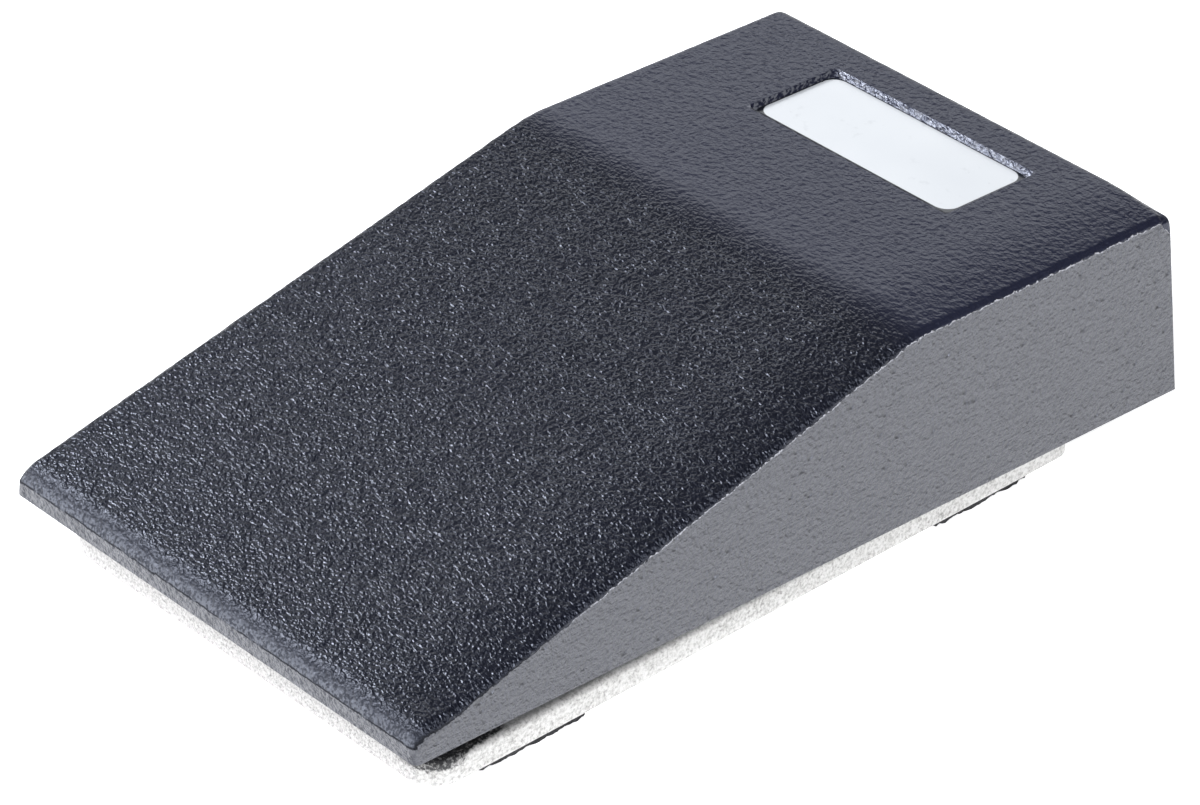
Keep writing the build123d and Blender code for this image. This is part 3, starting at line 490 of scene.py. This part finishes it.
# ----------------------------------------------------------------------------
# treadle: a fine mesh of the whole casting, with the cast grain in its surface
# ----------------------------------------------------------------------------
def profile():
    """points of the side profile: nose face, nose rounding, slope, ridge, flat, heel rounding, rear face,
    as rows (y, z, ny, nz), with the indices where the top grid starts and ends"""
    e = np.array([TREAD_L, 0.0])
    c = [np.array([0.0, 0.0]), np.array([0.0, NOSE_V]), np.array([RIDGE_Y, RIDGE_Z]), np.array([HEEL_Y, HEEL_Z]), e]
    rad = [None, NOSE_R, RIDGE_R, HEEL_R]
    unit = lambda v: v / np.hypot(*v)
    d = [unit(c[k + 1] - c[k]) for k in range(4)]
    n = [np.array([-v[1], v[0]]) for v in d]
    t = [0.0] + [rad[k] * math.tan(math.acos(np.clip(d[k - 1] @ d[k], -1, 1)) / 2) for k in (1, 2, 3)] + [0.0]
    out, marks = [], {}

    def line(k, step):
        p, q = c[k] + d[k] * t[k], c[k + 1] - d[k] * t[k + 1]
        m = max(2, int(round(np.hypot(*(q - p)) / step)))
        out.extend((*(p + (q - p) * i / m), *n[k]) for i in range(m))

    def arc(k, m):
        p = c[k] - d[k - 1] * t[k]
        o = p - n[k - 1] * rad[k]
        a0, a1 = math.atan2(n[k - 1][1], n[k - 1][0]), math.atan2(n[k][1], n[k][0])
        out.extend((o[0] + rad[k] * math.cos(a0 + (a1 - a0) * i / m), o[1] + rad[k] * math.sin(a0 + (a1 - a0) * i / m),
                    math.cos(a0 + (a1 - a0) * i / m), math.sin(a0 + (a1 - a0) * i / m)) for i in range(m))
    # the nose face is ground flat and cuts the rounding off at a crease
    s1, c1 = d[1][1] / d[1][0], d[1][0]
    q0 = NOSE_V - NOSE_ARC / c1 - NOSE_CUT
    a_, b_, c_ = 1 + s1 * s1, 2 * q0 * s1, q0 * q0 - NOSE_ARC ** 2
    yc = (-b_ + math.sqrt(b_ * b_ - 4 * a_ * c_)) / (2 * a_)
    zc = q0 + NOSE_CUT + s1 * yc
    a0, a1 = math.atan2(NOSE_CUT - zc, -yc), math.atan2(n[1][1], n[1][0])
    for v in (0.0, 0.3, 0.6, 0.9, 1.2, 1.5, 1.75, 1.9, 1.96):
        out.append((0.0, v, -1.0, 0.0))
    marks["start"] = len(out)
    for v in (0.0, 0.02, 0.06, 0.13, 0.22, 0.32, 0.43, 0.54, 0.66, 0.78, 0.89):
        an = a0 + (a1 - a0) * v
        out.append((yc + NOSE_ARC * math.cos(an), zc + NOSE_ARC * math.sin(an), math.cos(an), math.sin(an)))
    p1 = np.array([yc + NOSE_ARC * math.cos(a1), zc + NOSE_ARC * math.sin(a1)])
    q1 = c[2] - d[1] * t[2]
    m = int(round(np.hypot(*(q1 - p1)) / 0.46))
    out.extend((*(p1 + (q1 - p1) * i / m), *n[1]) for i in range(m))
    arc(2, 13)
    line(2, 0.46)
    arc(3, 9)
    marks["end"] = len(out)
    line(3, 0.5)
    out.append((*e, *n[3]))
    return np.array(out), marks


full, marks = profile()
i0, i1 = marks["start"], marks["end"]
prof = full[i0:i1 + 1]
NC = len(prof) - 1
edge = [0.0, 0.13, 0.28, 0.46, 0.68, 0.93, 1.22, 1.55, 1.9]
inner = np.linspace(2.35, 2 * HALF_W - 2.35, 150)
xs = np.array(edge + list(inner) + [2 * HALF_W - v for v in reversed(edge)])
U = xs / HALF_W - 1.0
NX = len(U) - 1
rows_abs = np.array([0.0, 0.13, 0.28, 0.46, 0.68, 0.93, 1.2, 1.45, 1.7, 1.95, 2.25])
NR = 10 + 15
w_at = lambda z: HALF_W - DRAFT * z


def row_t(height):
    """shares of the way down, fine near the top"""
    a = rows_abs / max(height, 2.4)
    return np.concatenate([a, np.linspace(a[-1], 1.0, NR - 10 + 1)[1:]])


def nearest(p):
    """distance to the side profile, its normal there, and the rounding radius to use there"""
    p = np.asarray(p, float)
    d = np.hypot(p[:, None, 0] - full[None, :, 0], p[:, None, 1] - full[None, :, 1])
    k = d.argmin(1)
    nn = full[k, 2:4]
    dist = np.abs(((full[k, 0:2] - p) * nn).sum(1))
    k_ = k.astype(float)
    r = EDGE_R + (0.55 - EDGE_R) * smooth(i1 - 6, i1 + 3, k_) + (1.0 - EDGE_R) * (1 - smooth(i0 - 1, i0 + 8, k_))
    return dist, nn, r


index, sharp, near_side, near_prof = {}, [], [], []


def put(key, x, y, z, side, on_profile):
    if key not in index:
        index[key] = len(sharp)
        sharp.append((x, y, z))
        near_side.append(side)
        near_prof.append(on_profile)


for i in range(NC + 1):
    for j in range(NX + 1):
        y, z = prof[i, 0], prof[i, 1]
        put((i, j, 0), U[j] * w_at(z), y, z, 0, 1)
t_nose, t_heel = row_t(prof[0, 1]), row_t(prof[-1, 1])
for k in range(1, NR + 1):
    for j in range(NX + 1):
        z = prof[0, 1] * (1 - t_nose[k])
        put((0, j, k), U[j] * w_at(z), 0.0, z, 0, 1)
        z = prof[-1, 1] * (1 - t_heel[k])
        y = prof[-1, 0] + (TREAD_L - prof[-1, 0]) * t_heel[k]
        put((NC, j, k), U[j] * w_at(z), y, z, 0, 1)
for i in range(1, NC):
    tt = row_t(prof[i, 1])
    yb = prof[i, 0] * TREAD_L / prof[-1, 0]
    for k in range(1, NR + 1):
        y, z = prof[i, 0] + (yb - prof[i, 0]) * tt[k], prof[i, 1] * (1 - tt[k])
        put((i, 0, k), -w_at(z), y, z, -1, 0)
        put((i, NX, k), w_at(z), y, z, 1, 0)
V = np.array(sharp, float)
on_prof = np.array(near_prof, bool)
dist, nn, rr = np.empty(len(V)), np.empty((len(V), 2)), np.empty(len(V))
for a in range(0, len(V), 8000):
    dist[a:a + 8000], nn[a:a + 8000], rr[a:a + 8000] = nearest(V[a:a + 8000, 1:3])
dist[on_prof] = 0.0
xdist = np.maximum(0.0, w_at(V[:, 2]) - np.abs(V[:, 0]))
sgn = np.sign(V[:, 0])
worn = (V[:, 0] > 0) * smooth(0.2, 0.9, nn[:, 1]) * smooth(1.0, 7.0, V[:, 1])
rr = rr + (EDGE_CORNER - rr) * worn
drop = EDGE_DROP * np.clip(1 - xdist / EDGE_RUN, 0, 1) ** 1.9 * worn * (1 - smooth(0.0, 7.0, dist))
E = np.stack([sgn * np.maximum(0, rr - xdist), nn[:, 0] * np.maximum(0, rr - dist), nn[:, 1] * np.maximum(0, rr - dist)], -1)
L_ = np.linalg.norm(E, axis=1)
okr = L_ > 1e-9
V[okr] = V[okr] - E[okr] + E[okr] / L_[okr, None] * rr[okr, None]
V[:, 1] -= nn[:, 0] * drop
V[:, 2] -= nn[:, 1] * drop

I = index
faces = []
for i in range(NC):
    for j in range(NX):
        faces.append((I[i, j, 0], I[i, j + 1, 0], I[i + 1, j + 1, 0], I[i + 1, j, 0]))
for k in range(NR):
    for j in range(NX):
        faces.append((I[0, j, k + 1], I[0, j + 1, k + 1], I[0, j + 1, k], I[0, j, k]))
        faces.append((I[NC, j, k], I[NC, j + 1, k], I[NC, j + 1, k + 1], I[NC, j, k + 1]))
    for i in range(NC):
        faces.append((I[i, 0, k], I[i + 1, 0, k], I[i + 1, 0, k + 1], I[i, 0, k + 1]))
        faces.append((I[i, NX, k + 1], I[i + 1, NX, k + 1], I[i + 1, NX, k], I[i, NX, k]))
faces.append(tuple([I[0, j, NR] for j in range(NX, -1, -1)] + [I[i, 0, NR] for i in range(1, NC)] +
                   [I[NC, j, NR] for j in range(NX + 1)] + [I[i, NX, NR] for i in range(NC - 1, 0, -1)]))

# cast surface: displaced inwards along the surface normal
tmp = new_mesh("tmp", V, faces)
N = np.empty(len(V) * 3, np.float32)
tmp.data.vertices.foreach_get("normal", N)
N = N.reshape(-1, 3).astype(float)
bpy.data.objects.remove(tmp)
x, y, z = V.T
cast_zone = np.where(on_prof & (y > 0.3), 1.0, smooth(0.30, 0.70, N[:, 2]))
cast_zone = np.clip(np.maximum(cast_zone, smooth(0.2, 0.6, N[:, 1])), 0, 1)
warp = np.stack([noise(V / 2.3, 3), noise(V / 2.3, 4), noise(V / 2.3, 5)], -1)
g1 = noise(V / 1.15 + warp * 0.5, 11)
g3 = noise(V / 6.0, 13)
g4 = noise(V / 2.4, 14)
on_slope = (1 - smooth(RIDGE_Y - 3.0, RIDGE_Y + 4.0, y)) * smooth(0.4, 2.2, y)
amp = 0.052 * on_slope + 0.012 * (1 - on_slope)
disp = 0.045 + amp * g1 + 0.012 * g4 + 0.016 * g3
disp = np.clip(disp, 0.0, 0.16)
V = V - N * (disp * cast_zone)[:, None]
# ground faces: the sides and the nose are cut flat
lim = w_at(np.clip(V[:, 2], 0, 30)) + 0.008 * noise(V / 3.0, 21) - 0.02
V[:, 0] = np.clip(V[:, 0], -lim, lim)
V[:, 1] = np.maximum(V[:, 1], 0.02 + 0.012 * noise(V / 2.5, 22))
V[:, 2] = np.maximum(V[:, 2], 0.0)
outer = new_mesh("treadle_body", to_level(V), faces)

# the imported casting, let out by half a millimetre on its outside, gives the hollow, arch, recess and holes
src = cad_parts["treadle_casting"].data
cut = bpy.data.objects.new("treadle_cut", src.copy())
cut.data.materials.clear()
scene.collection.objects.link(cut)
co = np.empty(len(src.vertices) * 3, np.float32)
src.vertices.foreach_get("co", co)
T = to_tread(co.reshape(-1, 3).astype(float))
OUT = 0.6
tx, ty, tz = T.T
dist, nn = np.empty(len(T)), np.empty((len(T), 2))
for a in range(0, len(T), 8000):
    dist[a:a + 8000], nn[a:a + 8000], _ = nearest(T[a:a + 8000, 1:3])
xdist = w_at(tz) - np.abs(tx)
roll = (xdist < EDGE_R + 0.1) & (dist < EDGE_R + 0.1)
T2 = T.copy()
m = (xdist < 0.1) | roll
T2[m, 0] += np.sign(tx[m]) * OUT
m = (dist < 0.1) | roll
T2[m, 1:3] += nn[m] * OUT
T2[tz < 0.02, 2] -= OUT
cut.data.vertices.foreach_set("co", to_level(T2).astype(np.float32).ravel())
cut.data.update()
bm = bmesh.new()
bm.from_mesh(cut.data)
bmesh.ops.remove_doubles(bm, verts=bm.verts, dist=1e-7)
bmesh.ops.recalc_face_normals(bm, faces=bm.faces)
bm.to_mesh(cut.data)
bm.free()
mod = outer.modifiers.new("cut", "BOOLEAN")
mod.operation = "INTERSECT"
mod.object = cut
mod.solver = "MANIFOLD"
apply_modifiers(outer)
bpy.data.objects.remove(cut)

me = outer.data
co = np.empty(len(me.vertices) * 3, np.float32)
me.vertices.foreach_get("co", co)
T = to_tread(co.reshape(-1, 3).astype(float))
dist, nn = np.empty(len(T)), np.empty((len(T), 2))
for a in range(0, len(T), 8000):
    dist[a:a + 8000], nn[a:a + 8000], _ = nearest(T[a:a + 8000, 1:3])
xdist = w_at(np.clip(T[:, 2], 0, 30)) - np.abs(T[:, 0])
# mm past the line where the ground faces start; negative on the cast skin
lead = 1.72 - 0.14 * smooth(RIDGE_Y - 4, RIDGE_Y + 4, T[:, 1])
lead = lead * smooth(-2.0, 5.0, T[:, 1])
edge_v = np.where(xdist < 1.9, dist - lead, -1.5)
low = (T[:, 1] < 2.6) & ((T[:, 1] < 0.70) | (xdist < 1.9))
edge_v = np.where(low, np.maximum(edge_v, 2.02 - T[:, 2]), edge_v)
rear = T[:, 1] > TREAD_L - 4.0
edge_v = np.where(rear & (nn[:, 0] > 0.9) & (T[:, 2] < HEEL_Z - 3.2), np.where(xdist < 0.50, 1.5, -1.5), edge_v)
edge_v = np.where(T[:, 2] < 0.02, 1.5, edge_v)
a = me.attributes.new("edge", "FLOAT", "POINT")
a.data.foreach_set("value", np.clip(edge_v, -2, 2).astype(np.float32))
a = me.attributes.new("slope", "FLOAT", "POINT")
grainy = 1 - smooth(RIDGE_Y - 4.0, RIDGE_Y + 4.0, T[:, 1])
a.data.foreach_set("value", grainy.astype(np.float32))
a = me.attributes.new("pit", "FLOAT", "POINT")
in_pit = (T[:, 0] > LX0 - 0.1) & (T[:, 0] < LX1 + 0.1) & (T[:, 1] > LY0 - 0.1) & (T[:, 1] < LY1 + 0.1) & (T[:, 2] > HEEL_Z - 2.0)
a.data.foreach_set("value", in_pit.astype(np.float32))
a = me.attributes.new("nose", "FLOAT", "POINT")
a.data.foreach_set("value", (1 - smooth(0.0, 2.8, T[:, 1])).astype(np.float32))
me.materials.clear()
me.materials.append(P.m)
me.polygons.foreach_set("use_smooth", [True] * len(me.polygons))
me.set_sharp_from_angle(angle=math.radians(38))
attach(outer, "treadle")
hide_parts("treadle_casting")
print("treadle faces", len(me.polygons), "verts", len(me.vertices), "triangles", sum(len(p.vertices) - 2 for p in me.polygons))


# ----------------------------------------------------------------------------
# rubber pads with torn edges
# ----------------------------------------------------------------------------
def ragged_pad(node, seed):
    lo_, hi_ = (np.array(v, float) * 1000 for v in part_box(node))
    mid, half = (lo_ + hi_) / 2, (hi_ - lo_) / 2
    r, per = 1.0, 44
    ring = []
    for qx_, qy_, a0 in ((1, 1, 0.0), (-1, 1, 0.5), (-1, -1, 1.0), (1, -1, 1.5)):
        c = np.array([qx_ * (half[0] - r), qy_ * (half[1] - r)])
        for a in np.linspace(a0 * math.pi, (a0 + 0.5) * math.pi, 7):
            ring.append((*(c + r * np.array([math.cos(a), math.sin(a)])), math.cos(a), math.sin(a)))
    ring = np.array(ring)
    seg = np.hypot(*(np.roll(ring, -1, 0)[:, :2] - ring[:, :2]).T)
    s_ = np.concatenate([[0], np.cumsum(seg)])
    pts = np.vstack([ring, ring[:1]])
    even = np.linspace(0, s_[-1], 4 * per, endpoint=False)
    out = np.stack([np.interp(even, s_, pts[:, k]) for k in range(4)], -1)
    rows, z_rows = [], np.array([0.0, 0.10, 0.28, 0.50, 0.72, 0.90, 1.0]) * (hi_[2] - lo_[2]) + lo_[2]
    for z_ in z_rows:
        p = np.stack([out[:, 0], out[:, 1], np.full(len(out), z_ * 1.6)], -1)
        tear = 0.5 + 0.5 * noise(p / 1.9, seed) + 0.35 * noise(p / 0.7, seed + 1)
        tear = 0.22 + 0.50 * np.clip(tear, 0, 1.3) ** 1.6
        if z_ == z_rows[0]:
            tear += 0.16
        lift_ = 0.34 * np.clip(noise(p / 1.1, seed + 2) + 0.25, 0, 1) * (1 - (z_ - lo_[2]) / (hi_[2] - lo_[2]))
        rows.append(np.stack([out[:, 0] - out[:, 2] * tear, out[:, 1] - out[:, 3] * tear, z_ + lift_], -1))
    for share in (0.93, 0.80, 0.55, 0.25):
        p = rows[0].copy() if share == 0.93 else base0.copy()
        if share == 0.93:
            base0 = rows[0].copy()
        p[:, :2] *= share
        p[:, 2] = lo_[2] + 0.05 * np.clip(noise(p / 1.3, seed + 5), 0, 1)
        rows.insert(0, p)
    top = rows[-1].copy()
    top[:, :2] *= 0.5
    rows.append(top)
    n_ = len(out)
    verts = np.concatenate(rows)
    verts[:, :2] += mid[:2]
    fs = [(k * n_ + i, k * n_ + (i + 1) % n_, (k + 1) * n_ + (i + 1) % n_, (k + 1) * n_ + i)
          for k in range(len(rows) - 1) for i in range(n_)]
    fs.append(tuple(range(n_ - 1, -1, -1)))
    fs.append(tuple((len(rows) - 1) * n_ + i for i in range(n_)))
    ob = new_mesh("torn_" + node, verts * 0.001, fs)
    ob.data.set_sharp_from_angle(angle=math.radians(50))
    ob.data.materials.append(R.m)
    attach(ob, "base")
    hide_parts(node)


for k, node in enumerate(("foot_pad_front_right", "foot_pad_front_left", "foot_pad_rear_right", "foot_pad_rear_left")):
    ragged_pad(node, 40 + 10 * k)


# ----------------------------------------------------------------------------
# coil springs with closed ground ends, each attached to its body
# ----------------------------------------------------------------------------
def coil(name, centre, radius, wire, z0, z1, turns, node, body, around=12, per=30):
    n_ = int(turns * per)
    u = np.linspace(0, 1, n_ + 1)
    grow = smooth(0.0, 0.9 / turns, u) * smooth(0.0, 0.9 / turns, 1 - u)
    rise = np.concatenate([[0], np.cumsum((0.35 * wire * 2 / (wire * 2) * 0.35 + grow)[1:])])
    rise = rise / rise[-1]
    zc_ = z0 + wire * 0.55 + (z1 - z0 - wire * 1.1) * rise
    a = u * turns * 2 * math.pi
    cen = np.stack([centre[0] + radius * np.cos(a), centre[1] + radius * np.sin(a), zc_], -1)
    verts = []
    for i in range(n_ + 1):
        out_ = np.array([math.cos(a[i]), math.sin(a[i]), 0.0])
        tan = cen[min(i + 1, n_)] - cen[max(i - 1, 0)]
        tan /= np.linalg.norm(tan)
        up = np.cross(out_, tan)
        up /= np.linalg.norm(up)
        up *= -1 if up[2] < 0 else 1
        for j in range(around):
            b = 2 * math.pi * j / around
            verts.append(cen[i] + wire * (math.cos(b) * out_ + math.sin(b) * up))
    verts = np.array(verts)
    verts[:, 2] = np.clip(verts[:, 2], z0, z1)
    fs = [(i * around + j, (i + 1) * around + j, (i + 1) * around + (j + 1) % around, i * around + (j + 1) % around)
          for i in range(n_) for j in range(around)]
    fs.append(tuple(range(around)))
    fs.append(tuple(n_ * around + j for j in range(around - 1, -1, -1)))
    ob = new_mesh(name, verts * 0.001, fs)
    bm_ = bmesh.new()
    bm_.from_mesh(ob.data)
    bmesh.ops.recalc_face_normals(bm_, faces=bm_.faces)
    bm_.to_mesh(ob.data)
    bm_.free()
    ob.data.set_sharp_from_angle(angle=math.radians(45))
    ob.data.materials.append(spring_m.m)
    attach(ob, body)
    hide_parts(node)
    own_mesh(ob)


coil("return_coil", (0.0, -17.166), 4.9, 0.6, 3.5, 16.07, 6.0, "return_spring", "base")
coil("overtravel_coil", (0.0, 12.734), 1.9, 0.2, 16.92, 20.08, 5.0, "switch_overtravel_spring", "switch_button_body")
